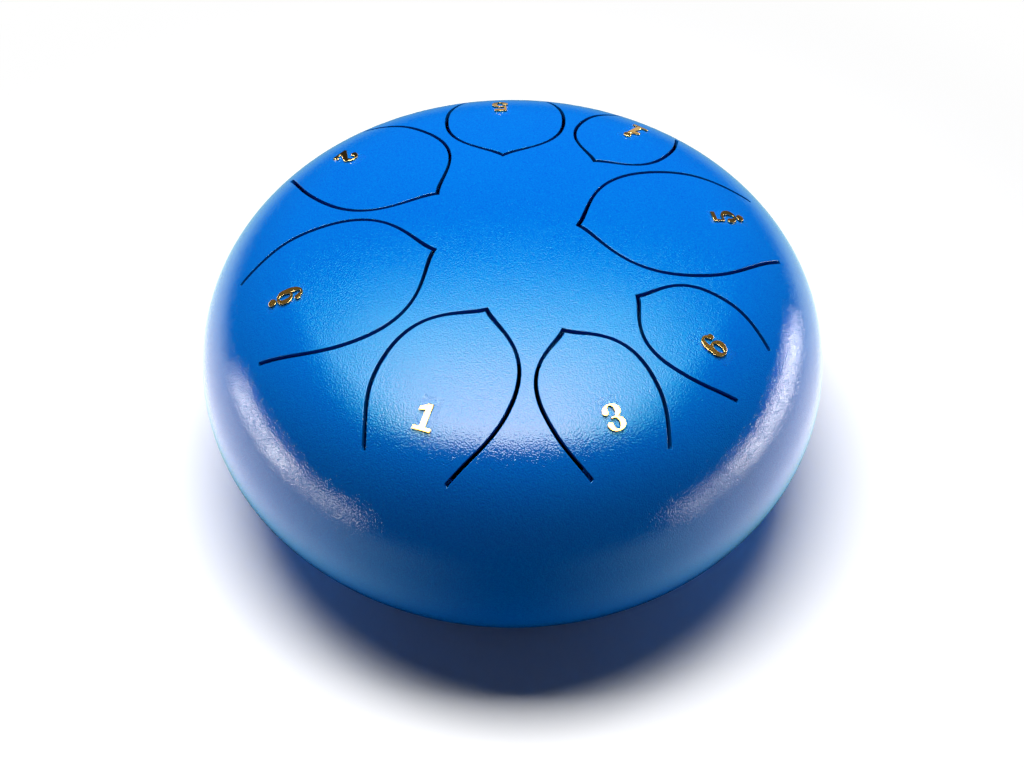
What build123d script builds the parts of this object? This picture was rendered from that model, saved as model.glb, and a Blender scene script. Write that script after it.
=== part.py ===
"""Steel tongue drum, 155 mm across: two pressed shells, eight petal tongues, note stickers and feet.

Frame: +Z up, origin on the floor under the middle of the drum, millimetres. Azimuths are in
degrees, counter-clockwise from +X; the player sits on the -Y side.
"""
import os
from collections import namedtuple
from math import asin, atan2, cos, degrees, hypot, radians, sin, sqrt

from build123d import *

# Shells: the dome is a crown with a round shoulder, the bowl a crown with a tighter corner
outer_radius = 77.5
rim_height = 41.0
crown_radius = 219.7
shoulder_radius = 34.15
bowl_crown_radius = 160.0
bowl_corner_radius = 27.5
sheet = 1.5
sound_hole_radius = 24.0
weld_depth = 1.2
weld_angle = 2.0

# Slits: one outline serves every tongue, as shares of its length and half-width
slit_width = 0.9
root_radius = 63.3
root_gap = 0.1
widest_at = 0.537
tip_pull = (0.251, 0.258)
tip_shoulder_pull = 0.409
neck_shoulder_pull = 0.189
neck_pull = 0.204
neck_angle = 23.0
overrun = 2.0
cut_floor = 55.0
cut_height = 40.0

# Note stickers: a clear film that carries a raised numeral, some with an octave dot
film_width = 4.8
film_height = 10.3
film_corner = 0.5
film_thickness = 0.1
numeral_thickness = 0.35
numeral_width = 4.2
numeral_height = 6.4
heavy = 1.35
light = 0.5
slab = 1.0
ball_radius = 0.72
bowl_radius = 2.0
dot_radius = 1.0
dot_gap = 0.2
sticker_reach = 2.0

# Tuning magnets, glued under the tongues close to their tips
magnet_radius = 3.0
magnet_height = 2.0
magnet_edge = 0.2
magnet_from_tip = 9.0
glue_line = 0.04

# Feet: rubber, moulded to the bowl, with a level sole; the screw is square to the bowl
foot_radius_at_bowl = 8.5
foot_radius_at_sole = 7.2
foot_circle_radius = 38.0
foot_azimuths = {"back": 90.0, "left": 210.0, "right": 330.0}
foot_length = 14.0
foot_overlap = 1.0
foot_edge = 0.7
foot_web = 3.0
head_recess_radius = 4.4
screw_radius = 2.0
screw_head_radius = 3.9
screw_head_height = 2.5
screw_head_round = 0.9
screw_length = 10.4
screw_hole_radius = 2.2
cross_width = 0.9
cross_length = 4.2
cross_depth = 1.4
washer_radius = 4.5
washer_thickness = 0.8
washer_lift = 0.08
nut_across_flats = 7.0
nut_height = 3.2
nut_hole_radius = 2.05

# Tongues in order round the drum: tip and root places, half-widths, and the sticker's place
Tongue = namedtuple(
    "Tongue", "tip_radius tip_azimuth root_azimuth half_width neck sticker_radius sticker_azimuth"
)
tongues = {
    "1": Tongue(24.1, -103.9, -111.0, 15.4, 9.8, 53.2, -110.1),
    "3": Tongue(30.8, -68.8, -66.5, 12.95, 9.3, 54.0, -66.5),
    "6": Tongue(33.3, -32.6, -31.7, 12.2, 8.5, 53.3, -33.3),
    "low_5": Tongue(15.5, 11.2, 12.2, 18.3, 10.9, 53.2, 13.2),
    "high_1": Tongue(34.7, 54.7, 55.7, 12.2, 8.5, 54.4, 55.4),
    "5": Tongue(29.6, 95.0, 91.6, 15.1, 10.3, 54.6, 93.7),
    "2": Tongue(23.2, 141.5, 139.4, 17.7, 12.6, 54.1, 140.8),
    "low_6": Tongue(18.8, -164.2, -163.7, 18.9, 12.9, 54.0, -164.0),
}

# Places worked out from the dimensions above
shoulder_centre = outer_radius - shoulder_radius
dome_centre_gap = crown_radius - shoulder_radius
crown_centre = rim_height - sqrt(dome_centre_gap**2 - shoulder_centre**2)
shoulder_start = degrees(asin(shoulder_centre / dome_centre_gap))
bowl_corner_centre = outer_radius - bowl_corner_radius
bowl_centre_gap = bowl_crown_radius - bowl_corner_radius
bowl_crown_centre = rim_height + sqrt(bowl_centre_gap**2 - bowl_corner_centre**2)
bowl_corner_start = degrees(asin(bowl_corner_centre / bowl_centre_gap))


def polar(radius, azimuth):
    """Plan point at a radius and azimuth."""
    return radius * cos(radians(azimuth)), radius * sin(radians(azimuth))


def dome_height(radius, lift=0.0):
    """Height of the dome at a radius, on the surface a lift above the outer face."""
    if radius < (crown_radius + lift) * sin(radians(shoulder_start)):
        return crown_centre + sqrt((crown_radius + lift) ** 2 - radius**2)
    return rim_height + sqrt((shoulder_radius + lift) ** 2 - (radius - shoulder_centre) ** 2)


def dome_slope(radius):
    """Angle of the dome's outer face from level, in degrees."""
    if radius < crown_radius * sin(radians(shoulder_start)):
        return degrees(asin(radius / crown_radius))
    return degrees(asin((radius - shoulder_centre) / shoulder_radius))


def dome_plane(radius, azimuth, lift=0.0):
    """Plane that lies on the dome, with its own y towards the top of the drum."""
    x, y = polar(radius, azimuth)
    outward = sin(radians(dome_slope(radius)))
    normal = (*polar(outward, azimuth), cos(radians(dome_slope(radius))))
    ring_direction = (*polar(1.0, azimuth + 90.0), 0.0)
    surface = Plane((x, y, dome_height(radius)), x_dir=ring_direction, z_dir=normal)
    return surface.offset(lift)


def dome_layer(inner, outer):
    """Layer of the dome between two lifts above its outer face."""
    with BuildPart() as layer:
        with BuildSketch(Plane.XZ):
            with BuildLine():
                over_shoulder = 90.0 - shoulder_start
                for lift in (inner, outer):
                    CenterArc((0, crown_centre), crown_radius + lift, over_shoulder, shoulder_start)
                    CenterArc((shoulder_centre, rim_height), shoulder_radius + lift, 0, over_shoulder)
                Line((0, crown_centre + crown_radius + inner), (0, crown_centre + crown_radius + outer))
                Line((outer_radius + inner, rim_height), (outer_radius + outer, rim_height))
            make_face()
        revolve(axis=Axis.Z)
    return layer.part


def bowl_layer(inner, outer):
    """Layer of the bowl between two lifts above its outer face, closed in the middle."""
    with BuildPart() as layer:
        with BuildSketch(Plane.XZ):
            with BuildLine():
                corner_sweep = 90.0 - bowl_corner_start
                for lift in (inner, outer):
                    CenterArc((0, bowl_crown_centre), bowl_crown_radius + lift, 270, bowl_corner_start)
                    CenterArc((bowl_corner_centre, rim_height), bowl_corner_radius + lift, 360, -corner_sweep)
                lowest = bowl_crown_centre - bowl_crown_radius
                Line((0, lowest - inner), (0, lowest - outer))
                Line((outer_radius + inner, rim_height), (outer_radius + outer, rim_height))
            make_face()
        revolve(axis=Axis.Z)
    return layer.part


def weld_ring():
    """V-shaped weld at the rim: its outer face is flush with both shells."""
    upper = (
        shoulder_centre + shoulder_radius * cos(radians(weld_angle)),
        rim_height + shoulder_radius * sin(radians(weld_angle)),
    )
    lower = (
        bowl_corner_centre + bowl_corner_radius * cos(radians(weld_angle)),
        rim_height - bowl_corner_radius * sin(radians(weld_angle)),
    )
    with BuildPart() as ring:
        with BuildSketch(Plane.XZ):
            with BuildLine():
                CenterArc((shoulder_centre, rim_height), shoulder_radius, 0, weld_angle)
                CenterArc((bowl_corner_centre, rim_height), bowl_corner_radius, 0, -weld_angle)
                Polyline(upper, (outer_radius - weld_depth, rim_height), lower)
            make_face()
        revolve(axis=Axis.Z)
    return ring.part


def tongue_frame(tongue):
    """Plan plane with its origin at a tongue's tip and its x along the tongue, and the length."""
    tip = polar(tongue.tip_radius, tongue.tip_azimuth)
    root = polar(root_radius, tongue.root_azimuth)
    along = (root[0] - tip[0], root[1] - tip[1])
    length = hypot(*along)
    return Plane((*tip, cut_floor), x_dir=(*along, 0), z_dir=(0, 0, 1)), length


def petal(tongue, margin, short=0.0):
    """Slit outline about its middle line, moved out by a margin and cut off square, short of its root."""
    frame, length = tongue_frame(tongue)
    half_width = tongue.half_width
    widest = widest_at * length
    tip_angle = atan2(tip_pull[1], tip_pull[0])
    tip_side = Vector(-sin(tip_angle), cos(tip_angle))
    neck_line = Vector(cos(radians(neck_angle)), -sin(radians(neck_angle)))
    neck_side = Vector(sin(radians(neck_angle)), cos(radians(neck_angle)))
    tip_handle = Vector(tip_pull[0] * half_width, tip_pull[1] * half_width) + tip_side * margin
    shoulder = Vector(widest, half_width + margin)
    shoulder_in = shoulder - (tip_shoulder_pull * length, 0)
    shoulder_out = shoulder + (neck_shoulder_pull * length, 0)
    neck = Vector(length, tongue.neck) + neck_side * margin
    neck_handle = neck - neck_line * neck_pull * length
    past_neck = neck + neck_line * overrun
    with BuildSketch(frame) as outline:
        with BuildLine():
            Bezier((-margin / sin(tip_angle), 0), tip_handle, shoulder_in, shoulder)
            Bezier(shoulder, shoulder_out, neck_handle, neck)
            Polyline(neck, past_neck, (past_neck.X, 0))
            mirror(about=Plane.XZ)
        make_face()
        with Locations((length - short, 0)):
            Rectangle(2 * length, 4 * half_width, align=(Align.MAX, Align.CENTER), mode=Mode.INTERSECT)
    return outline.sketch


def digit_one():
    """Stem with a slab foot and a slanting flag."""
    half, top = numeral_width / 2, numeral_height / 2
    flag = ((0, top), (-half, top - slab), (-half, top - 2 * slab), (0, top - 2 * slab + light))
    with BuildSketch() as digit:
        Rectangle(heavy, numeral_height)
        with Locations((0, -top)):
            Rectangle(numeral_width, slab, align=(Align.CENTER, Align.MIN))
        Polygon(*flag, align=None)
    return digit.sketch


def digit_two():
    """Hook with a ball end, a heavy diagonal and a slab foot."""
    half, top = numeral_width / 2, numeral_height / 2
    level = top - bowl_radius
    bend = (half - light, level - slab)
    diagonal = ((half - heavy, level), (half, level), bend, (0, slab - top), (-half, slab - top))
    with BuildSketch() as digit:
        with Locations((0, level)):
            Ellipse(half, bowl_radius)
            Ellipse(half - heavy, bowl_radius - light, mode=Mode.SUBTRACT)
            Rectangle(numeral_width, 2 * bowl_radius, align=(Align.CENTER, Align.MAX), mode=Mode.SUBTRACT)
        with Locations((ball_radius - half, level)):
            Circle(ball_radius)
        Polygon(*diagonal, align=None)
        with Locations((0, -top)):
            Rectangle(numeral_width, slab, align=(Align.CENTER, Align.MIN))
        with Locations((half, -top)):
            Rectangle(light, 2 * slab, align=(Align.MAX, Align.MIN))
    return digit.sketch


def digit_three():
    """Two bowls that share a thin waist and open to the left, each with a ball end."""
    half, top = numeral_width / 2, numeral_height / 2
    bowl = (numeral_height + light) / 4
    centre = top - bowl
    with BuildSketch() as digit:
        with Locations((0, centre), (0, -centre)):
            Ellipse(half, bowl)
        with Locations((0, centre), (0, -centre)):
            Ellipse(half - heavy, bowl - light, mode=Mode.SUBTRACT)
        Rectangle(half, 2 * centre, align=(Align.MAX, Align.CENTER), mode=Mode.SUBTRACT)
        with Locations((ball_radius - half, centre), (ball_radius - half, -centre)):
            Circle(ball_radius)
        Rectangle(heavy / 2, light, align=(Align.MAX, Align.CENTER))
    return digit.sketch


def digit_five():
    """Slab flag on a thin post, over a bowl that ends in a ball."""
    half, top = numeral_width / 2, numeral_height / 2
    bowl_top = 2 * bowl_radius - top
    with BuildSketch() as digit:
        with Locations((0, bowl_radius - top)):
            Ellipse(half, bowl_radius)
            Ellipse(half - heavy, bowl_radius - light, mode=Mode.SUBTRACT)
            Rectangle(half, bowl_radius, align=(Align.MAX, Align.MIN), mode=Mode.SUBTRACT)
        with Locations((ball_radius - half, bowl_radius - top)):
            Circle(ball_radius)
        with Locations((light - half, top)):
            Rectangle(numeral_width - 2 * light, slab, align=(Align.MIN, Align.MAX))
            Rectangle(light, top - bowl_top + light, align=(Align.MIN, Align.MAX))
        with Locations((light - half, bowl_top)):
            Rectangle(half, light, align=(Align.MIN, Align.MAX))
    return digit.sketch


def digit_six():
    """Tall heavy back with a ball end, closed by a bowl."""
    half, top = numeral_width / 2, numeral_height / 2
    ball_height = top - 2 * ball_radius
    with BuildSketch() as digit:
        Ellipse(half, top)
        Ellipse(half - heavy, top - light, mode=Mode.SUBTRACT)
        with Locations((half, ball_height)):
            Rectangle(half, top, align=(Align.MAX, Align.MAX), mode=Mode.SUBTRACT)
        with Locations((half - ball_radius, ball_height)):
            Circle(ball_radius)
        with Locations((0, bowl_radius - top)):
            Ellipse(half, bowl_radius)
            Ellipse(half - heavy, bowl_radius - light, mode=Mode.SUBTRACT)
    return digit.sketch


def make_numeral(name, tongue):
    """Raised numeral on its film; an octave dot is a solid of its own."""
    digits = {"1": digit_one, "2": digit_two, "3": digit_three, "5": digit_five, "6": digit_six}
    digit = digits[name[-1]]()
    layer = dome_layer(film_thickness, film_thickness + numeral_thickness)
    dot_side = {"low": -1, "high": 1}.get(name.split("_")[0], 0)
    digit_shift = -dot_side * (dot_radius + dot_gap / 2)
    dot_shift = dot_side * (numeral_height / 2 + dot_gap + dot_radius)
    with BuildPart() as numeral:
        with BuildSketch(dome_plane(tongue.sticker_radius, tongue.sticker_azimuth, -sticker_reach)):
            with Locations((0, digit_shift)):
                add(digit)
            if dot_side:
                with Locations((0, digit_shift + dot_shift)):
                    Circle(dot_radius)
        extrude(amount=2 * sticker_reach)
        add(layer, mode=Mode.INTERSECT)
    return numeral.part


def make_film(tongue):
    """Clear film, cut to a rounded rectangle and pressed down on the dome."""
    layer = dome_layer(0, film_thickness)
    with BuildPart() as film:
        with BuildSketch(dome_plane(tongue.sticker_radius, tongue.sticker_azimuth, -sticker_reach)):
            RectangleRounded(film_width, film_height, film_corner)
        extrude(amount=2 * sticker_reach)
        add(layer, mode=Mode.INTERSECT)
    return film.part


def make_magnet(tongue):
    """Disc magnet on the inner face of the tongue, on its middle line."""
    frame, _ = tongue_frame(tongue)
    spot = frame.from_local_coords(Vector(magnet_from_tip, 0, 0))
    face = dome_plane(hypot(spot.X, spot.Y), degrees(atan2(spot.Y, spot.X)), -sheet - glue_line)
    with BuildPart() as magnet:
        with BuildSketch(face):
            Circle(magnet_radius)
        extrude(amount=-magnet_height)
        chamfer(magnet.edges().filter_by(GeomType.CIRCLE), length=magnet_edge)
    return magnet.part


def foot_plane(azimuth, lift=0.0):
    """Plane square to the bowl at a foot, with its z pointing out of the bowl."""
    slope = asin(foot_circle_radius / bowl_crown_radius)
    x, y = polar(foot_circle_radius, azimuth)
    height = bowl_crown_centre - bowl_crown_radius * cos(slope)
    normal = (*polar(sin(slope), azimuth), -cos(slope))
    ring_direction = (*polar(1.0, azimuth + 90.0), 0.0)
    return Plane((x, y, height), x_dir=ring_direction, z_dir=normal).offset(lift)


def make_foot(azimuth):
    """Rubber foot: tapered, hollowed at the bowl's curve, with a level sole and a recess for the screw."""
    bowl = bowl_layer(-bowl_corner_radius / 2, 0)
    with BuildPart() as foot:
        with BuildSketch(foot_plane(azimuth, -foot_overlap)):
            Circle(foot_radius_at_bowl)
        with BuildSketch(foot_plane(azimuth, foot_length)):
            Circle(foot_radius_at_sole)
        loft()
        with BuildSketch(foot_plane(azimuth, foot_web)):
            Circle(head_recess_radius)
        extrude(amount=foot_length, mode=Mode.SUBTRACT)
        with BuildSketch(foot_plane(azimuth, -foot_overlap)):
            Circle(screw_hole_radius)
        extrude(amount=foot_length, mode=Mode.SUBTRACT)
        split(bisect_by=Plane.XY, keep=Keep.TOP)
        sole = foot.faces().sort_by(Axis.Z)[0]
        chamfer(sole.edges(), length=foot_edge)
        add(bowl, mode=Mode.SUBTRACT)
    return foot.part


def make_screw(azimuth):
    """Pan-head screw with a cross recess."""
    with BuildPart() as screw:
        with BuildSketch(foot_plane(azimuth, foot_web)):
            Circle(screw_head_radius)
        extrude(amount=screw_head_height)
        fillet(screw.edges().group_by(Axis.Z)[0], screw_head_round)
        with BuildSketch(foot_plane(azimuth, foot_web)):
            Circle(screw_radius)
        extrude(amount=-screw_length)
        with BuildSketch(foot_plane(azimuth, foot_web + screw_head_height)):
            Rectangle(cross_length, cross_width)
            Rectangle(cross_width, cross_length)
        extrude(amount=-cross_depth, mode=Mode.SUBTRACT)
    return screw.part


def make_washer(azimuth):
    """Flat washer inside the bowl."""
    with BuildPart() as washer:
        with BuildSketch(foot_plane(azimuth, -sheet - washer_lift)):
            Circle(washer_radius)
            Circle(screw_hole_radius, mode=Mode.SUBTRACT)
        extrude(amount=-washer_thickness)
    return washer.part


def make_nut(azimuth):
    """Hexagon nut on the washer."""
    with BuildPart() as nut:
        with BuildSketch(foot_plane(azimuth, -sheet - washer_lift - washer_thickness)):
            RegularPolygon(nut_across_flats / 2, 6, major_radius=False)
            Circle(nut_hole_radius, mode=Mode.SUBTRACT)
        extrude(amount=-nut_height)
    return nut.part


def write(piece, name):
    """Label a finished piece and write it to its own file."""
    piece.label = name
    export_step(piece, f"parts/{name}.step")


os.makedirs("parts", exist_ok=True)
dome_sheet = dome_layer(-sheet, 0)
bowl_sheet = bowl_layer(-sheet, 0)
rim_weld = weld_ring()

# Top shell, open where the tongues and their slits are
slit_outlines = [petal(tongue, slit_width / 2) for tongue in tongues.values()]
with BuildPart() as top_shell:
    add(dome_sheet)
    for outline in slit_outlines:
        extrude(outline, amount=cut_height, mode=Mode.SUBTRACT)
    add(rim_weld, mode=Mode.SUBTRACT)
write(top_shell.part, "top_shell")

# Tongues with their stickers and magnets
for name, tongue in tongues.items():
    blade_outline = petal(tongue, -slit_width / 2, root_gap)
    with BuildPart() as blade:
        extrude(blade_outline, amount=cut_height)
        add(dome_sheet, mode=Mode.INTERSECT)
    write(blade.part, f"tongue_{name}")
    write(make_film(tongue), f"film_{name}")
    write(make_numeral(name, tongue), f"numeral_{name}")
    write(make_magnet(tongue), f"magnet_{name}")

# Bottom shell with its sound hole and the holes for the feet
with BuildPart() as bottom_shell:
    add(bowl_sheet)
    with BuildSketch(Plane.XY):
        Circle(sound_hole_radius)
    extrude(amount=rim_height / 2, mode=Mode.SUBTRACT)
    for azimuth in foot_azimuths.values():
        with BuildSketch(foot_plane(azimuth, sheet)):
            Circle(screw_hole_radius)
        extrude(amount=-3 * sheet, mode=Mode.SUBTRACT)
    add(rim_weld, mode=Mode.SUBTRACT)
write(bottom_shell.part, "bottom_shell")
write(rim_weld, "seam_weld")

# Feet, and their fasteners as groups of three
for side, azimuth in foot_azimuths.items():
    write(make_foot(azimuth), f"foot_{side}")
for name, make in (("foot_screws", make_screw), ("foot_washers", make_washer), ("foot_nuts", make_nut)):
    write(Compound(children=[make(azimuth) for azimuth in foot_azimuths.values()]), name)
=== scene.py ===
"""Steel tongue drum: coated pressed sheet, eight tongues, gold note stickers and feet, in a pale studio.

Metres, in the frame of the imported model: +Z up, origin on the floor, the player on the -Y side.
"""

from collections import namedtuple
from functools import partial
from math import asin, atan2, cos, hypot, pi, radians, sin, sqrt

import bmesh
import bpy
from mathutils import Matrix, Vector
from mathutils.geometry import interpolate_bezier


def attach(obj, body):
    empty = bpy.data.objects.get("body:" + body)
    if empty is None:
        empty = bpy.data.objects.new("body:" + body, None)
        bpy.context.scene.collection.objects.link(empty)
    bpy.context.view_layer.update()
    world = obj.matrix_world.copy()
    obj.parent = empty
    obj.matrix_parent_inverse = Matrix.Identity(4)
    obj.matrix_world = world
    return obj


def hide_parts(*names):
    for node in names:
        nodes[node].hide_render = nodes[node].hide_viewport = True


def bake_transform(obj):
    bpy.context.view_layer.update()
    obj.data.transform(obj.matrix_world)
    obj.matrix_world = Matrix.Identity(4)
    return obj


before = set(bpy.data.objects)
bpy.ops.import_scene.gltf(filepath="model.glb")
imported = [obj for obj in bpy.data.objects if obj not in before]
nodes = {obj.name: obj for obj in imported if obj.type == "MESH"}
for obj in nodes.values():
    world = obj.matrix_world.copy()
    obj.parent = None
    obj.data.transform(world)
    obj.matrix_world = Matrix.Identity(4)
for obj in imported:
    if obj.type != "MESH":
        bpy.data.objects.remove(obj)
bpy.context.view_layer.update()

mm = 0.001

# Pressed shells
outer_radius = 77.5 * mm
rim_height = 41.0 * mm
sheet = 1.5 * mm
sound_hole_radius = 24.0 * mm
weld_depth = 1.2 * mm
weld_angle = radians(2.0)
foot_circle_radius = 38.0 * mm
foot_azimuths = (radians(90.0), radians(210.0), radians(330.0))
screw_hole_radius = 2.2 * mm

# Slits: their width, the radius of the roots, and curves as shares of a tongue's length or half-width
slit_width = 0.9 * mm
root_radius = 63.3 * mm
widest_at = 0.537
tip_pull = (0.251, 0.258)
tip_shoulder_pull = 0.409
neck_shoulder_pull = 0.189
neck_pull = 0.204
neck_angle = radians(23.0)

# How finely the sheet is cut up: the lip is the rounded edge that the coat leaves on every cut
lip = 0.12 * mm
lip_turns = (0.0, pi / 6, pi / 3, pi / 2)
ring_steps = 192
flank_steps = 26
hole_steps = 48
weld_steps = 3
grid = 3.0 * mm
corner_step = 1.6 * mm
dome_fill_radius = 67.5 * mm
bowl_fill_radius = 46.0 * mm
root_lap = 0.4 * mm
root_reach = 2 * grid
bend_length = 4.0 * mm

# How well a face has to agree with the surface: above the first value it is skin, below the second a wall
skin_facing = 0.975
wall_facing = 0.5

# Note stickers
film_width = 4.8 * mm
film_height = 10.3 * mm
film_corner = 0.5 * mm
film_thickness = 0.1 * mm
film_grid = 0.8 * mm
film_corner_steps = 4
laying_rounds = 4
digit_bevel = 0.15 * mm
digit_bevel_steps = 3
digit_flat_angle = radians(6.0)
merge_distance = 0.001 * mm
round_profile = 0.5

# Finishes: each drifts between two colours, and the coat has a fine peel
coat_deep = (0.0, 0.123, 0.82)
coat_bright = (0.0, 0.31, 1.0)
coat_roughness = 0.02
peel_size = 0.33 * mm
peel_depth = 0.05 * mm
peel_share = 0.8
clear_ior = 1.5
# Slit walls: a darker blue than the coat, painted shade inside the slits
slit_shade_deep = (0.0, 0.1, 0.4)
slit_shade_bright = (0.0, 0.16, 0.56)
film_deep = (0.0, 0.35, 0.95)
film_bright = (0.12, 0.5, 1.0)
film_cover = 0.035
gold_deep = (0.74, 0.38, 0.05)
gold_bright = (0.86, 0.48, 0.09)
# Rim of the numerals: a paler gold, painted highlight
gold_highlight_deep = (0.86, 0.58, 0.2)
gold_highlight_bright = (0.93, 0.68, 0.3)
nickel_deep = (0.62, 0.6, 0.55)
nickel_bright = (0.75, 0.73, 0.69)
rubber_deep = (0.012, 0.012, 0.013)
rubber_bright = (0.03, 0.03, 0.032)
zinc_deep = (0.5, 0.51, 0.54)
zinc_bright = (0.68, 0.69, 0.7)

# Floor: black in the middle, painted shade under the drum, which hides it; then card, then white, with a
# ramp between two radii each
floor_size = 6.0
painted_shade_under_drum = (0.035, 0.065)
floor_white = (0.13, 0.27)
floor_card = (0.95, 0.95, 0.95)
black = (0.0, 0.0, 0.0)
white = (1.0, 1.0, 1.0)

# Floor as matt surfaces see it: share of the card left in front, share and lift of the glow at the sides
front_bounce = 0.27
side_bounce = 0.5
side_lift = 1.8

# Glow of the floor in the drum's gloss: a ring, strong at the sides, weak behind and bluer where it is weak
glow_rise = (0.07, 0.115)
glow_fall = (0.3, 0.6)
glow_level = 2.4
glow_behind = 0.3
glow_lost_behind = 0.6
weak_glow = (0.4, 1.0, 1.0)

# Surroundings as matt and as glossy surfaces see them
fill_level = 0.02
mirror_level = 0.03
ray_kinds = ("Camera", "Glossy", "Transmission", "Diffuse")

# Sheet of light overhead: its edges, the left, right and back of its even core, and its colours
overhead_height = 0.88
overhead_front = -0.165
overhead_back = 0.78
overhead_left = -0.64
overhead_right = 0.62
overhead_core = (-0.2, 0.12, 0.14)
overhead_level = 12.0
overhead_colours = ((0.0, 1.0, 0.88), (0.9, 1.0, 0.86))

# Softboxes, with their radiance given against white, which is 1
Softbox = namedtuple("Softbox", "place target size radiance")
top_light = Softbox((0.0, 0.0725, overhead_height), (0.0, 0.0725, 0.0), (0.63, 0.455), 2.2)
floor_light = Softbox((-0.034, 0.006, 0.6), (-0.034, 0.006, 0.0), (0.38, 0.19), 21.5)
gold_lights = {
    "gold_box": Softbox((0.0, 0.04, overhead_height - 0.01), (0.0, 0.04, 0.0), (0.9, 0.41), 16.0),
    "gold_sky": Softbox((0.0, 0.5, overhead_height - 0.005), (0.0, 0.5, 0.0), (2.6, 2.6), 0.1),
    "gold_left": Softbox((-0.45, 0.22, 0.1), (0.0, 0.0, 0.07), (0.3, 0.25), 6.0),
    "gold_right": Softbox((0.45, 0.22, 0.1), (0.0, 0.0, 0.07), (0.3, 0.25), 6.0),
    "gold_back": Softbox((0.18, 0.6, 0.1), (0.0, 0.05, 0.07), (0.45, 0.2), 0.8),
}
key_tilt = radians(40.0)
key_distance = 0.9
key_target = Vector((0.0, 0.0, 0.06))
key_place = key_target + key_distance * Vector((0.0, sin(key_tilt), cos(key_tilt)))
key_light = Softbox(key_place, key_target, (0.4, 0.4), 14.3)

# Low strips of light round the drum
Strip = namedtuple("Strip", "bearing width radiance")
strip_distance = 0.5
strip_height = 0.045
strip_depth = 0.06
strips = {
    "left_strip": Strip(radians(185.0), 0.28, 14.5),
    "left_tail": Strip(radians(210.0), 0.26, 6.5),
    "right_strip": Strip(radians(4.0), 0.4, 16.5),
    "right_tail": Strip(radians(-28.0), 0.24, 6.0),
}

# Camera
camera_place = (0.0, -0.2259, 0.2951)
camera_target = (-0.0001, 0.0, 0.0255)
camera_roll = radians(0.23)
sensor_width = 36.0
lens = 46.95

# Tongues: tip and root places, half-widths, and the sticker's place
Tongue = namedtuple(
    "Tongue", "tip_radius tip_azimuth root_azimuth half_width neck sticker_radius sticker_azimuth"
)


def in_metres(tip_radius, tip_azimuth, root_azimuth, half_width, neck, sticker_radius, sticker_azimuth):
    """Tongue from its millimetres and degrees."""
    return Tongue(
        tip_radius * mm,
        radians(tip_azimuth),
        radians(root_azimuth),
        half_width * mm,
        neck * mm,
        sticker_radius * mm,
        radians(sticker_azimuth),
    )


tongues = {
    "1": in_metres(24.1, -103.9, -111.0, 15.4, 9.8, 53.2, -110.1),
    "3": in_metres(30.8, -68.8, -66.5, 12.95, 9.3, 54.0, -66.5),
    "6": in_metres(33.3, -32.6, -31.7, 12.2, 8.5, 53.3, -33.3),
    "low_5": in_metres(15.5, 11.2, 12.2, 18.3, 10.9, 53.2, 13.2),
    "high_1": in_metres(34.7, 54.7, 55.7, 12.2, 8.5, 54.4, 55.4),
    "5": in_metres(29.6, 95.0, 91.6, 15.1, 10.3, 54.6, 93.7),
    "2": in_metres(23.2, 141.5, 139.4, 17.7, 12.6, 54.1, 140.8),
    "low_6": in_metres(18.8, -164.2, -163.7, 18.9, 12.9, 54.0, -164.0),
}


class Pressing:
    """Outer face of a pressed shell: a crown that runs into a round corner at the rim."""

    def __init__(self, crown_radius, corner_radius, up):
        self.crown_radius = crown_radius
        self.corner_radius = corner_radius
        self.up = up
        self.corner_ring = outer_radius - corner_radius
        gap = crown_radius - corner_radius
        self.corner_start = asin(self.corner_ring / gap)
        self.crown_centre = rim_height - up * sqrt(gap**2 - self.corner_ring**2)
        self.crown_arc = crown_radius * self.corner_start

    def arc_at_radius(self, radius):
        """Distance along the face, from the middle out to a plan radius."""
        if radius < self.crown_radius * sin(self.corner_start):
            return self.crown_radius * asin(radius / self.crown_radius)
        return self.arc_at_slope(asin((radius - self.corner_ring) / self.corner_radius))

    def arc_at_slope(self, slope):
        """Distance along the face, from the middle out to a slope on the corner."""
        return self.crown_arc + self.corner_radius * (slope - self.corner_start)

    def flatten(self, x, y):
        """Point of the flat blank over a plan point."""
        radius = hypot(x, y)
        return Vector((x, y, 0.0)) * (self.arc_at_radius(radius) / radius)

    def press(self, blank_point):
        """Point of the sheet for a point of the flat blank; z is the height over the outer face."""
        arc = hypot(blank_point.x, blank_point.y)
        azimuth = atan2(blank_point.y, blank_point.x)
        on_crown = arc < self.crown_arc
        radius = self.crown_radius if on_crown else self.corner_radius
        slope = arc / radius if on_crown else self.corner_start + (arc - self.crown_arc) / radius
        ring = 0.0 if on_crown else self.corner_ring
        centre_height = self.crown_centre if on_crown else rim_height
        reach = ring + (radius + blank_point.z) * sin(slope)
        height = centre_height + self.up * (radius + blank_point.z) * cos(slope)
        return Vector((reach * cos(azimuth), reach * sin(azimuth), height))

    def from_centre(self, point):
        """Way from the centre of curvature to a point near the sheet, and the radius of the face there."""
        from_crown = Vector((point.x, point.y, point.z - self.crown_centre))
        if atan2(hypot(point.x, point.y), self.up * from_crown.z) < self.corner_start:
            return from_crown, self.crown_radius
        on_ring = Vector((point.x, point.y, 0.0)).normalized() * self.corner_ring
        return point - on_ring - Vector((0.0, 0.0, rim_height)), self.corner_radius

    def normal(self, point):
        """Outward direction of the face at a point near the sheet."""
        return self.from_centre(point)[0].normalized()

    def height_over(self, point):
        """Height of a point over the outer face."""
        way, radius = self.from_centre(point)
        return way.length - radius


dome = Pressing(crown_radius=219.7 * mm, corner_radius=34.15 * mm, up=1)
bowl = Pressing(crown_radius=160.0 * mm, corner_radius=27.5 * mm, up=-1)


def polar(radius, azimuth):
    """Plan point at a radius and azimuth."""
    return Vector((radius * cos(azimuth), radius * sin(azimuth), 0.0))


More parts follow.
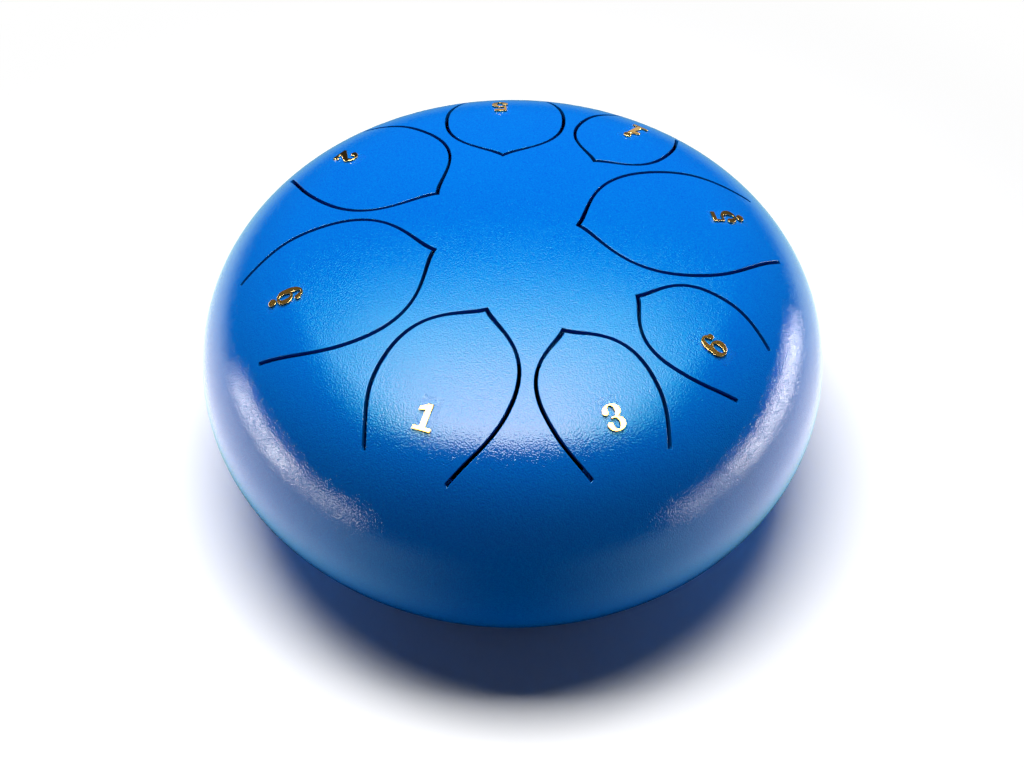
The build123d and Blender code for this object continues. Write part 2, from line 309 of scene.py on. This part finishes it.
def tongue_axes(tongue):
    """Tongue in plan: its tip, its directions towards the root and sideways, and its length."""
    tip = polar(tongue.tip_radius, tongue.tip_azimuth)
    along = polar(root_radius, tongue.root_azimuth) - tip
    length = along.length
    along = along / length
    return tip, along, Vector((-along.y, along.x, 0.0)), length


def flank(tongue, length, margin, widen):
    """Half of a slit's edge from the tip to the neck, moved out by a margin and made longer by the lip."""
    half_width = tongue.half_width
    tip_angle = atan2(tip_pull[1], tip_pull[0])
    tip_side = Vector((-sin(tip_angle), cos(tip_angle)))
    neck_line = Vector((cos(neck_angle), -sin(neck_angle)))
    neck_side = Vector((sin(neck_angle), cos(neck_angle)))
    tip = Vector((-margin / sin(tip_angle), 0.0))
    tip_handle = Vector(tip_pull) * half_width + tip_side * margin
    shoulder = Vector((widest_at * length, half_width + margin))
    shoulder_in = shoulder - Vector((tip_shoulder_pull * length, 0.0))
    shoulder_out = shoulder + Vector((neck_shoulder_pull * length, 0.0))
    neck = Vector((length, tongue.neck)) + neck_side * margin + neck_line * widen
    neck_handle = neck - neck_line * neck_pull * length
    head = interpolate_bezier(tip, tip_handle, shoulder_in, shoulder, flank_steps)
    tail = interpolate_bezier(shoulder, shoulder_out, neck_handle, neck, flank_steps)
    return head + tail[1:]


def slit_outline(tongue, widen):
    """Outline of the slit round a tongue on the flat blank, widened by the lip."""
    tip, along, sideways, length = tongue_axes(tongue)
    reach = slit_width / 2 + widen
    outline = []
    for margin, order in ((reach, 1), (-reach, -1)):
        half = flank(tongue, length, margin, widen)
        whole = [Vector((p.x, -p.y)) for p in reversed(half[1:])] + half
        outline += whole[::order]
    plan = [tip + along * p.x + sideways * p.y for p in outline]
    return [dome.flatten(p.x, p.y) for p in plan]


def hole_outline(centre, radius, steps, widen):
    """Outline of a round hole on the flat blank, widened by the lip."""
    return [centre + polar(radius + widen, 2 * pi * k / steps) for k in range(steps)]


def ring_of_edges(bm, outline, height):
    """Closed ring of edges through an outline at a height."""
    verts = [bm.verts.new((p.x, p.y, height)) for p in outline]
    return [bm.edges.new(pair) for pair in zip(verts, verts[1:] + verts[:1])]


def cut_wall(bm, outline_at):
    """Wall of a cut through the blank with a rounded lip on both faces; returns its end rings."""
    lips = [(lip * (1 - sin(turn)), lip * (1 - cos(turn))) for turn in lip_turns]
    steps = [(widen, -depth) for widen, depth in lips]
    steps += [(widen, depth - sheet) for widen, depth in reversed(lips)]
    rings = [ring_of_edges(bm, outline_at(widen), height) for widen, height in steps]
    for upper, lower in zip(rings, rings[1:]):
        bmesh.ops.bridge_loops(bm, edges=upper + lower)
    return rings[0], rings[-1]


def turn_profile(bm, points, closed):
    """Turn a profile round the drum's axis."""
    verts = [bm.verts.new(p) for p in points]
    next_verts = verts[1:] + verts[:1] if closed else verts[1:]
    edges = [bm.edges.new(pair) for pair in zip(verts, next_verts)]
    bmesh.ops.spin(
        bm,
        geom=verts + edges,
        axis=(0, 0, 1),
        cent=(0, 0, 0),
        angle=2 * pi,
        steps=ring_steps,
        use_merge=True,
    )


def turned_corner(bm, pressing, fill_radius):
    """Corner of the blank out to the weld; returns its inner rings, upper and lower."""
    start = pressing.arc_at_radius(fill_radius)
    edge = pressing.arc_at_slope(pi / 2 - weld_angle)
    rim = pressing.arc_at_slope(pi / 2)
    count = round((edge - start) / corner_step)
    outer = [start + (edge - start) * k / count for k in range(count + 1)]
    profile = [(arc, 0.0, 0.0) for arc in outer]
    profile += [(rim, 0.0, -weld_depth), (rim, 0.0, -sheet)]
    profile += [(arc, 0.0, -sheet) for arc in reversed(outer)]
    turn_profile(bm, profile, closed=False)
    open_edges = [e for e in bm.edges if e.is_boundary]
    top = [e for e in open_edges if e.verts[0].co.z > -sheet / 2]
    bottom = [e for e in open_edges if e.verts[0].co.z < -sheet / 2]
    return top, bottom


def with_borders(faces):
    """Faces together with their edges and corners."""
    return faces + list({e for f in faces for e in f.edges}) + list({v for f in faces for v in f.verts})


def cut_to_grid(bm, faces, reach, spacing):
    """Cut flat faces along a square grid, so that they bend smoothly when they are pressed."""
    geom = with_borders(faces)
    count = int(reach / spacing)
    for direction in (Vector((1, 0, 0)), Vector((0, 1, 0))):
        for k in range(-count, count + 1):
            line = direction * k * spacing
            geom = bmesh.ops.bisect_plane(bm, geom=geom, plane_co=line, plane_no=direction)["geom"]


def flat_blank(pressing, fill_radius, outlines):
    """Flat blank of a shell: a turned corner, a wall round each cut, and both faces filled and gridded."""
    bm = bmesh.new()
    top, bottom = turned_corner(bm, pressing, fill_radius)
    for outline_at in outlines:
        upper, lower = cut_wall(bm, outline_at)
        top += upper
        bottom += lower
    for side, rings in ((1, top), (-1, bottom)):
        filled = bmesh.ops.triangle_fill(bm, use_beauty=True, edges=rings, normal=(0, 0, side))["geom"]
        faces = [g for g in filled if isinstance(g, bmesh.types.BMFace)]
        cut_to_grid(bm, faces, pressing.arc_at_radius(fill_radius), grid)
    return bm


def island_of(start_face):
    """Every face that hangs together with a face."""
    found = {start_face}
    waiting = [start_face]
    while waiting:
        for edge in waiting.pop().edges:
            for face in edge.link_faces:
                if face not in found:
                    found.add(face)
                    waiting.append(face)
    return found


def cut_root(bm, tongue):
    """Part a tongue from the blank on a straight line across its neck, just short of the slit's ends."""
    tip, along, sideways, length = tongue_axes(tongue)
    neck_width = tongue.neck + root_lap * sin(neck_angle) / cos(neck_angle)
    ends = [tip + along * (length - root_lap) + sideways * side * neck_width for side in (-1, 1)]
    left, right = [dome.flatten(p.x, p.y) for p in ends]
    across = right - left
    inward = Vector((-across.y, across.x, 0.0)).normalized()
    faces = []
    for face in bm.faces:
        offset = face.calc_center_median() - left
        share = offset.dot(across) / across.length_squared
        if 0.0 < share < 1.0 and abs(offset.dot(inward)) < root_reach:
            faces.append(face)
    cut = bmesh.ops.bisect_plane(bm, geom=with_borders(faces), plane_co=left, plane_no=inward)["geom_cut"]
    bmesh.ops.split_edges(bm, edges=[g for g in cut if isinstance(g, bmesh.types.BMEdge)])


def shell_pieces(bm):
    """The blank's separate pieces: each tongue by name, and the shell."""
    found = {}
    for name, tongue in tongues.items():
        tip, along, _, length = tongue_axes(tongue)
        middle = tip + along * widest_at * length
        spot = dome.flatten(middle.x, middle.y)
        seed = min(bm.faces, key=lambda f: (f.calc_center_median() - spot).length)
        found[name] = island_of(seed)
    taken = set().union(*found.values())
    found["shell"] = {f for f in bm.faces if f not in taken}
    return found


def skin_normals(mesh, normal_at):
    """Give the faces that lie along a surface its exact normals; lips and walls keep their own."""
    normals = [Vector()] * len(mesh.loops)
    for face in mesh.polygons:
        facing = face.normal.dot(normal_at(face.center))
        if abs(facing) > skin_facing:
            side = 1 if facing > 0 else -1
            for corner, vertex in zip(face.loop_indices, face.vertices):
                normals[corner] = side * normal_at(mesh.vertices[vertex].co)
    mesh.normals_split_custom_set(normals)


def add_piece(bm, name, finish, node):
    """Object from a finished mesh, standing for a node of the frame."""
    mesh = bpy.data.meshes.new(name)
    bm.to_mesh(mesh)
    bm.free()
    mesh.materials.append(finish)
    piece = bpy.data.objects.new(name, mesh)
    bpy.context.scene.collection.objects.link(piece)
    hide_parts(node)
    return piece


def paint_walls(mesh, normal_at, finish, facing):
    """Give the walls of a piece, the faces that turn away from its surface, a finish of their own: painted
    shade on slit walls, a paler gold as painted highlight on a numeral's rim.
    """
    mesh.materials.append(finish)
    for face in mesh.polygons:
        if abs(face.normal.dot(normal_at(face.center))) < facing:
            face.material_index = 1


def sheet_piece(bm, faces, pressing, name, finish, node):
    """Piece of a blank, pressed to shape, with the cuts across its necks closed."""
    kept = {f.index for f in faces}
    part = bm.copy()
    bmesh.ops.delete(part, geom=[f for f in part.faces if f.index not in kept], context="FACES")
    for face in part.faces:
        face.smooth = True
    caps = bmesh.ops.holes_fill(part, edges=[e for e in part.edges if e.is_boundary], sides=0)["faces"]
    for face in caps:
        face.smooth = False
    for vert in part.verts:
        vert.co = pressing.press(vert.co)
    bmesh.ops.recalc_face_normals(part, faces=part.faces)
    piece = add_piece(part, name, finish, node)
    skin_normals(piece.data, pressing.normal)
    return piece


def make_dome_and_tongues(finish, wall_shade_finish):
    """Top shell and its eight tongues, cut from one blank so that no line shows where they join."""
    outlines = [partial(slit_outline, tongue) for tongue in tongues.values()]
    blank = flat_blank(dome, dome_fill_radius, outlines)
    for tongue in tongues.values():
        cut_root(blank, tongue)
    blank.faces.index_update()
    cut = shell_pieces(blank)
    shell = sheet_piece(blank, cut["shell"], dome, "dome", finish, "top_shell")
    # The slit walls get a darker finish as painted shade
    paint_walls(shell.data, dome.normal, wall_shade_finish, wall_facing)
    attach(shell, "drum_body")
    for name, tongue in tongues.items():
        piece = sheet_piece(blank, cut[name], dome, f"blade_{name}", finish, f"tongue_{name}")
        paint_walls(piece.data, dome.normal, wall_shade_finish, wall_facing)
        tip, along, _, length = tongue_axes(tongue)
        ends = [tip + along * (length - root_lap - run) for run in (0.0, bend_length)]
        start, end = [dome.press(dome.flatten(p.x, p.y)) for p in ends]
        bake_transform(piece)
    blank.free()


def make_bowl(finish):
    """Bottom shell with its sound hole and the screw holes of the feet."""
    feet_arc = bowl.arc_at_radius(foot_circle_radius)
    hole_arc = bowl.arc_at_radius(sound_hole_radius)
    outlines = [partial(hole_outline, Vector(), hole_arc, ring_steps)]
    for azimuth in foot_azimuths:
        outlines.append(partial(hole_outline, polar(feet_arc, azimuth), screw_hole_radius, hole_steps))
    blank = flat_blank(bowl, bowl_fill_radius, outlines)
    blank.faces.index_update()
    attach(sheet_piece(blank, blank.faces, bowl, "bowl", finish, "bottom_shell"), "drum_body")
    blank.free()


def make_weld(finish):
    """Weld at the rim: ground flush with both shells outside, a V inside."""
    slopes = [pi / 2 - weld_angle * k / weld_steps for k in range(weld_steps + 1)]
    upper = [dome.press(Vector((dome.arc_at_slope(slope), 0.0, 0.0))) for slope in slopes]
    lower = [bowl.press(Vector((bowl.arc_at_slope(slope), 0.0, 0.0))) for slope in slopes]
    root = Vector((outer_radius - weld_depth, 0.0, rim_height))
    bm = bmesh.new()
    turn_profile(bm, upper[::-1] + lower[1:] + [root], closed=True)
    bmesh.ops.recalc_face_normals(bm, faces=bm.faces)
    for face in bm.faces:
        face.smooth = True
    piece = add_piece(bm, "weld", finish, "seam_weld")
    skin_normals(piece.data, lambda p: (dome if p.z > rim_height else bowl).normal(p))
    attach(piece, "drum_body")


def sticker_axes(tongue):
    """Middle of a sticker on the dome, its directions across and up, and the dome's normal there."""
    plan = polar(tongue.sticker_radius, tongue.sticker_azimuth)
    middle = dome.press(dome.flatten(plan.x, plan.y))
    normal = dome.normal(middle)
    across = polar(1.0, tongue.sticker_azimuth + pi / 2)
    return middle, across, normal.cross(across), normal


def laid_on(point, direction, lift):
    """Point moved along a direction to a lift over the dome."""
    for _ in range(laying_rounds):
        gap = dome.height_over(point) - lift
        point = point - direction * (gap / dome.normal(point).dot(direction))
    return point


def make_film(name, tongue, finish):
    """Clear film: a rounded rectangle, laid on the dome and given its thickness."""
    middle, across, up, normal = sticker_axes(tongue)
    bm = bmesh.new()
    bmesh.ops.create_grid(bm, x_segments=1, y_segments=1, size=0.5)
    bmesh.ops.scale(bm, vec=(film_width, film_height, 1.0), verts=bm.verts)
    bmesh.ops.bevel(
        bm,
        geom=list(bm.verts),
        offset=film_corner,
        segments=film_corner_steps,
        profile=round_profile,
        affect="VERTICES",
        material=-1,
    )
    cut_to_grid(bm, list(bm.faces), film_height / 2, film_grid)
    for vert in bm.verts:
        vert.co = laid_on(middle + across * vert.co.x + up * vert.co.y, normal, 0.0)
    raised = bmesh.ops.extrude_face_region(bm, geom=list(bm.faces))["geom"]
    for vert in (g for g in raised if isinstance(g, bmesh.types.BMVert)):
        vert.co = laid_on(vert.co, normal, film_thickness)
    bmesh.ops.recalc_face_normals(bm, faces=bm.faces)
    for face in bm.faces:
        face.smooth = True
    piece = add_piece(bm, f"sticker_{name}", finish, f"film_{name}")
    skin_normals(piece.data, dome.normal)
    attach(piece, f"tongue_{name}_body")


def make_digit(name, finish, highlight_finish):
    """Raised numeral: the frame's own shape with a rounded upper edge, painted a paler gold as a highlight.
    """
    bm = bmesh.new()
    bm.from_mesh(nodes[f"numeral_{name}"].data)
    bmesh.ops.remove_doubles(bm, verts=bm.verts, dist=merge_distance)
    bmesh.ops.dissolve_limit(bm, angle_limit=digit_flat_angle, verts=bm.verts, edges=bm.edges)
    rim = []
    for edge in bm.edges:
        facing = sorted(f.normal.dot(dome.normal(f.calc_center_median())) for f in edge.link_faces)
        if facing[-1] > skin_facing and facing[0] < wall_facing:
            rim.append(edge)
    bmesh.ops.bevel(
        bm,
        geom=rim,
        offset=digit_bevel,
        offset_type="OFFSET",
        segments=digit_bevel_steps,
        profile=round_profile,
        affect="EDGES",
        clamp_overlap=True,
        material=-1,
    )
    for face in bm.faces:
        face.smooth = True
    piece = add_piece(bm, f"digit_{name}", finish, f"numeral_{name}")
    skin_normals(piece.data, dome.normal)
    # The rim gets the paler gold as a painted highlight
    paint_walls(piece.data, dome.normal, highlight_finish, skin_facing)
    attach(piece, f"tongue_{name}_body")
    return piece


class Shade:
    """Output of a node; each sum, difference, product or quotient of it adds a node."""

    def __init__(self, tree, socket):
        self.tree = tree
        self.socket = socket

    def math(self, operation, first, second):
        """Outcome of an operation on two values, which may be plain numbers."""
        return self.tree.add("ShaderNodeMath", {"operation": operation}, {0: first, 1: second})

    def __add__(self, other):
        return self.math("ADD", self, other)

    def __sub__(self, other):
        return self.math("SUBTRACT", self, other)

    def __rsub__(self, other):
        return self.math("SUBTRACT", other, self)

    def __mul__(self, other):
        return self.math("MULTIPLY", self, other)

    def __truediv__(self, other):
        return self.math("DIVIDE", self, other)

    def __rtruediv__(self, other):
        return self.math("DIVIDE", other, self)

    def maximum(self, other):
        return self.math("MAXIMUM", self, other)

    __radd__ = __add__
    __rmul__ = __mul__


class Tree:
    """Node tree, written as one call for each node."""

    def __init__(self, owner):
        owner.use_nodes = True
        self.tree = owner.node_tree
        self.tree.nodes.clear()

    def add(self, kind, settings=None, sockets=None, output=0):
        """Node of a type, with its settings, the values or links of its sockets, and one of its outputs."""
        node = self.tree.nodes.new(kind)
        for name, value in (settings or {}).items():
            setattr(node, name, value)
        for name, value in (sockets or {}).items():
            if isinstance(value, Shade):
                self.tree.links.new(value.socket, node.inputs[name])
            else:
                node.inputs[name].default_value = value
        return Shade(self, node.outputs[output]) if node.outputs else None

    def place(self):
        """Place on the piece, in metres."""
        return self.add("ShaderNodeTexCoord", output="Object")

    def axis(self, place, name):
        """One of the three measures of a place."""
        return self.add("ShaderNodeSeparateXYZ", sockets={0: place}, output=name)

    def rays(self):
        """For each kind of ray, 1 where a ray is of that kind and 0 where it isn't."""
        return {kind: self.add("ShaderNodeLightPath", output=f"Is {kind} Ray") for kind in ray_kinds}

    def noise(self, size, detail=2.0):
        """Noise whose lumps have about this size, from 0 to 1."""
        sockets = {"Vector": self.place(), "Scale": 1 / size, "Detail": detail}
        return self.add("ShaderNodeTexNoise", sockets=sockets)

    def ramp(self, value, ends):
        """Smooth rise from 0 to 1 while a value runs between two ends."""
        sockets = {0: value, 1: ends[0], 2: ends[1]}
        return self.add("ShaderNodeMapRange", {"interpolation_type": "SMOOTHSTEP"}, sockets)

    def blend_colours(self, factor, first, second):
        """Mix of two colours."""
        sockets = {"Factor": factor, 6: (*first, 1.0), 7: (*second, 1.0)}
        return self.add("ShaderNodeMix", {"data_type": "RGBA"}, sockets, output=2)

    def bump(self, height, depth):
        """Normal of a surface with relief, from heights of 0 to 1 and the relief's depth in metres."""
        return self.add("ShaderNodeBump", sockets={"Height": height, "Distance": depth, "Strength": 1.0})


def surface(name, sockets_from):
    """Material with one principled shader, whose sockets a function gives."""
    material = bpy.data.materials.new(name)
    tree = Tree(material)
    shader = tree.add("ShaderNodeBsdfPrincipled", sockets=sockets_from(tree))
    tree.add("ShaderNodeOutputMaterial", sockets={"Surface": shader})
    return material


def coat_sockets(tree):
    """Semi-gloss blue powder coat with an orange peel."""
    peel = tree.noise(peel_size, detail=0.0)
    drift = tree.noise(30 * mm)
    shade = peel_share * peel + (1 - peel_share) * drift
    return {
        "Base Color": tree.blend_colours(shade, coat_deep, coat_bright),
        "Roughness": coat_roughness + 0.01 * (tree.noise(6 * mm) - 0.5),
        "Normal": tree.bump(peel, peel_depth),
        "IOR": clear_ior,
    }


def slit_shade_sockets(tree):
    """Slit wall: matt, a darker blue than the coat and without gloss, as painted shade inside the slits."""
    return {
        "Base Color": tree.blend_colours(tree.noise(1.5 * mm), slit_shade_deep, slit_shade_bright),
        "Roughness": 0.5 + 0.2 * tree.noise(0.3 * mm),
        "Normal": tree.bump(tree.noise(0.2 * mm), 0.01 * mm),
        "Specular IOR Level": 0.0,
    }


def film_sockets(tree):
    """Clear film over the coat: it shows only as a faint pale sheen."""
    return {
        "Base Color": tree.blend_colours(tree.noise(1 * mm), film_deep, film_bright),
        "Roughness": 0.1 + 0.06 * tree.noise(1 * mm),
        "Normal": tree.bump(tree.noise(peel_size, detail=0.0), peel_depth / 2),
        "Alpha": film_cover,
        "IOR": clear_ior,
    }


def gold_sockets(tree):
    """Satin gold foil with a slight unevenness."""
    return {
        "Base Color": tree.blend_colours(tree.noise(2 * mm), gold_deep, gold_bright),
        "Metallic": 1.0,
        "Roughness": 0.13 + 0.06 * tree.noise(0.4 * mm),
        "Normal": tree.bump(tree.noise(1.2 * mm), 0.003 * mm),
    }


def gold_highlight_sockets(tree):
    """Rim of the gold foil in a paler gold: a painted highlight."""
    return {
        "Base Color": tree.blend_colours(tree.noise(2 * mm), gold_highlight_deep, gold_highlight_bright),
        "Metallic": 1.0,
        "Roughness": 0.14 + 0.06 * tree.noise(0.4 * mm),
        "Normal": tree.bump(tree.noise(0.6 * mm), 0.004 * mm),
    }


def nickel_sockets(tree):
    """Bright nickel plating, rubbed a little dull."""
    return {
        "Base Color": tree.blend_colours(tree.noise(3 * mm), nickel_deep, nickel_bright),
        "Metallic": 1.0,
        "Roughness": 0.16 + 0.14 * tree.noise(0.7 * mm),
        "Normal": tree.bump(tree.noise(0.25 * mm), 0.002 * mm),
    }


def rubber_sockets(tree):
    """Moulded black rubber with a matt grain."""
    return {
        "Base Color": tree.blend_colours(tree.noise(5 * mm), rubber_deep, rubber_bright),
        "Roughness": 0.62 + 0.2 * tree.noise(0.8 * mm),
        "Normal": tree.bump(tree.noise(0.3 * mm), 0.015 * mm),
    }


def zinc_sockets(tree):
    """Zinc-plated steel with faint crystals."""
    cells = {"Vector": tree.place(), "Scale": 1 / (1.2 * mm)}
    crystal = tree.add("ShaderNodeTexVoronoi", sockets=cells, output="Distance")
    return {
        "Base Color": tree.blend_colours(crystal, zinc_deep, zinc_bright),
        "Metallic": 1.0,
        "Roughness": 0.28 + 0.15 * tree.noise(0.6 * mm),
        "Normal": tree.bump(tree.noise(0.2 * mm), 0.003 * mm),
    }


def dress_node(name, finish):
    """Give a node of the frame its finish."""
    nodes[name].data.materials.clear()
    nodes[name].data.materials.append(finish)


def stage_sheet(name, low, high, height, finish):
    """Flat sheet of the studio between two plan corners."""
    bm = bmesh.new()
    bmesh.ops.create_grid(bm, x_segments=1, y_segments=1, size=0.5)
    bmesh.ops.scale(bm, vec=(high[0] - low[0], high[1] - low[1], 1.0), verts=bm.verts)
    bmesh.ops.translate(bm, vec=((low[0] + high[0]) / 2, (low[1] + high[1]) / 2, height), verts=bm.verts)
    mesh = bpy.data.meshes.new(name)
    bm.to_mesh(mesh)
    bm.free()
    mesh.materials.append(finish)
    sheet_object = bpy.data.objects.new(name, mesh)
    bpy.context.scene.collection.objects.link(sheet_object)
    return sheet_object


def floor_finish():
    """White card that keeps the drum's shadow, is painted black as shade under the drum, and is plain white
    further out.

    The drum's gloss sees it bright at the drum's sides and dark before it.
    """
    material = bpy.data.materials.new("white_floor")
    tree = Tree(material)
    place = tree.place()
    away = tree.add("ShaderNodeVectorMath", {"operation": "LENGTH"}, {0: place}, output="Value")
    sideways = tree.axis(place, "X") / away
    backwards = tree.axis(place, "Y") / away
    at_sides = sideways * sideways
    ring = tree.ramp(away, glow_rise) * (1 - tree.ramp(away, glow_fall))
    behind = backwards.maximum(0.0)
    shine = glow_level * ring * at_sides * (1 - glow_lost_behind * behind) + glow_behind * ring * behind
    rays = tree.rays()
    dimmed = (1 - front_bounce) * (1 - at_sides) * rays["Diffuse"]
    # Painted shade: the card turns black under the drum, where little light reaches
    painted_shade_under = 1 - tree.ramp(away, painted_shade_under_drum)
    colour = tree.blend_colours(dimmed.maximum(painted_shade_under), floor_card, black)
    card = tree.add("ShaderNodeBsdfDiffuse", sockets={"Color": colour})
    plain = rays["Camera"] + rays["Transmission"]
    redness = plain + tree.ramp(shine, (0.0, glow_level)) * rays["Glossy"]
    tint = tree.blend_colours(redness, weak_glow, white)
    strength = plain + shine * (rays["Glossy"] + side_lift * rays["Diffuse"])
    glow = tree.add("ShaderNodeEmission", sockets={"Color": tint, "Strength": strength})
    whitened = tree.ramp(away, floor_white) * plain
    share = whitened + rays["Glossy"] + side_bounce * at_sides * rays["Diffuse"]
    both = tree.add("ShaderNodeMixShader", sockets={0: share, 1: card, 2: glow})
    tree.add("ShaderNodeOutputMaterial", sockets={"Surface": both})
    return material


def linked_to(name, things, state):
    """Collection that makes a lamp light only some things, or all but those things."""
    group = bpy.data.collections.new(name)
    for thing in things:
        group.objects.link(thing)
    for member in group.collection_objects:
        member.light_linking.link_state = state
    return group


def make_softbox(name, box, diffuse=True, glossy=True, lit=None):
    """Softbox aimed at its target; matt or glossy light can be left out, and lit limits what it lights."""
    width, depth = box.size
    light = bpy.data.lights.new(name, "AREA")
    light.shape = "RECTANGLE"
    light.size = width
    light.size_y = depth
    light.energy = box.radiance * pi * width * depth
    light.cycles.use_multiple_importance_sampling = glossy
    lamp = bpy.data.objects.new(name, light)
    lamp.location = box.place
    lamp.rotation_euler = (Vector(box.target) - Vector(box.place)).to_track_quat("-Z", "Y").to_euler()
    lamp.visible_camera = False
    lamp.visible_diffuse = diffuse
    lamp.visible_glossy = glossy
    lamp.light_linking.receiver_collection = lit
    bpy.context.scene.collection.objects.link(lamp)


def overhead_finish():
    """Light of the overhead sheet: even over its core, and falling to nothing at the far edges."""
    material = bpy.data.materials.new("overhead_light")
    material.cycles.emission_sampling = "NONE"
    tree = Tree(material)
    place = tree.place()
    x = tree.axis(place, "X")
    y = tree.axis(place, "Y")
    core_left, core_right, core_back = overhead_core
    leftwards = (core_left - x) / (core_left - overhead_left)
    rightwards = (x - core_right) / (overhead_right - core_right)
    backwards = (y - core_back) / (overhead_back - core_back)
    inside = 1 - leftwards.maximum(rightwards).maximum(backwards).maximum(0.0)
    tint = tree.blend_colours(inside * inside, *overhead_colours)
    glow = tree.add("ShaderNodeEmission", sockets={"Color": tint, "Strength": overhead_level * inside})
    tree.add("ShaderNodeOutputMaterial", sockets={"Surface": glow})
    return material


def make_overhead(lit):
    """Graded sheet of light over the drum with a sharp front edge, seen in the gloss alone."""
    low = (overhead_left, overhead_front)
    high = (overhead_right, overhead_back)
    overhead = stage_sheet("overhead", low, high, overhead_height, overhead_finish())
    overhead.visible_camera = False
    overhead.visible_diffuse = False
    overhead.visible_transmission = False
    overhead.visible_shadow = False
    overhead.light_linking.receiver_collection = lit


def make_strip(name, strip):
    """Low strip of light beside the drum, seen in its gloss alone."""
    rise = Vector((0.0, 0.0, strip_height))
    place = polar(strip_distance, strip.bearing) + rise
    make_softbox(name, Softbox(place, rise, (strip.width, strip_depth), strip.radiance), diffuse=False)


def make_lights(floor, digits):
    """Light from overhead and behind, lamps for the floor and the gold alone, and strips at both sides."""
    only_floor = linked_to("only_floor", [floor], "INCLUDE")
    not_floor = linked_to("not_floor", [floor], "EXCLUDE")
    only_gold = linked_to("only_gold", digits, "INCLUDE")
    make_overhead(linked_to("not_gold", digits, "EXCLUDE"))
    make_softbox("top", top_light, glossy=False, lit=not_floor)
    make_softbox("floor_light", floor_light, glossy=False, lit=only_floor)
    for name, box in gold_lights.items():
        make_softbox(name, box, diffuse=False, lit=only_gold)
    make_softbox("key", key_light, glossy=False, lit=not_floor)
    for name, strip in strips.items():
        make_strip(name, strip)


def make_world():
    """White surroundings for the camera, and a weak fill for the rest."""
    world = bpy.data.worlds.new("studio")
    bpy.context.scene.world = world
    tree = Tree(world)
    rays = tree.rays()
    plain = rays["Camera"] + rays["Transmission"]
    level = plain + fill_level * rays["Diffuse"] + mirror_level * rays["Glossy"]
    sky = tree.add("ShaderNodeBackground", sockets={"Color": (*white, 1.0), "Strength": level})
    tree.add("ShaderNodeOutputWorld", sockets={"Surface": sky})


def make_camera():
    """Camera at the photograph's place."""
    data = bpy.data.cameras.new("camera")
    data.sensor_width = sensor_width
    data.lens = lens
    camera = bpy.data.objects.new("camera", data)
    look = (Vector(camera_target) - Vector(camera_place)).to_track_quat("-Z", "Y").to_matrix()
    turned = look @ Matrix.Rotation(camera_roll, 3, "Z")
    camera.matrix_world = Matrix.Translation(camera_place) @ turned.to_4x4()
    bpy.context.scene.collection.objects.link(camera)
    bpy.context.scene.camera = camera


coat = surface("coat", coat_sockets)
slit_shade = surface("slit_shade", slit_shade_sockets)
film = surface("film", film_sockets)
gold = surface("gold", gold_sockets)
gold_highlight = surface("gold_highlight", gold_highlight_sockets)
nickel = surface("nickel", nickel_sockets)
rubber = surface("rubber", rubber_sockets)
zinc = surface("zinc", zinc_sockets)

make_dome_and_tongues(coat, slit_shade)
make_bowl(coat)
make_weld(coat)
digits = [make_digit(name, gold, gold_highlight) for name in tongues]
for name, tongue in tongues.items():
    make_film(name, tongue, film)
    dress_node(f"magnet_{name}", nickel)
for side in ("back", "left", "right"):
    dress_node(f"foot_{side}", rubber)
for fastener in ("screws", "washers", "nuts"):
    dress_node(f"foot_{fastener}", zinc)

half_floor = floor_size / 2
floor = stage_sheet("floor", (-half_floor, -half_floor), (half_floor, half_floor), 0.0, floor_finish())
make_lights(floor, digits)
make_world()
make_camera()
bpy.context.scene.view_settings.view_transform = "Standard"
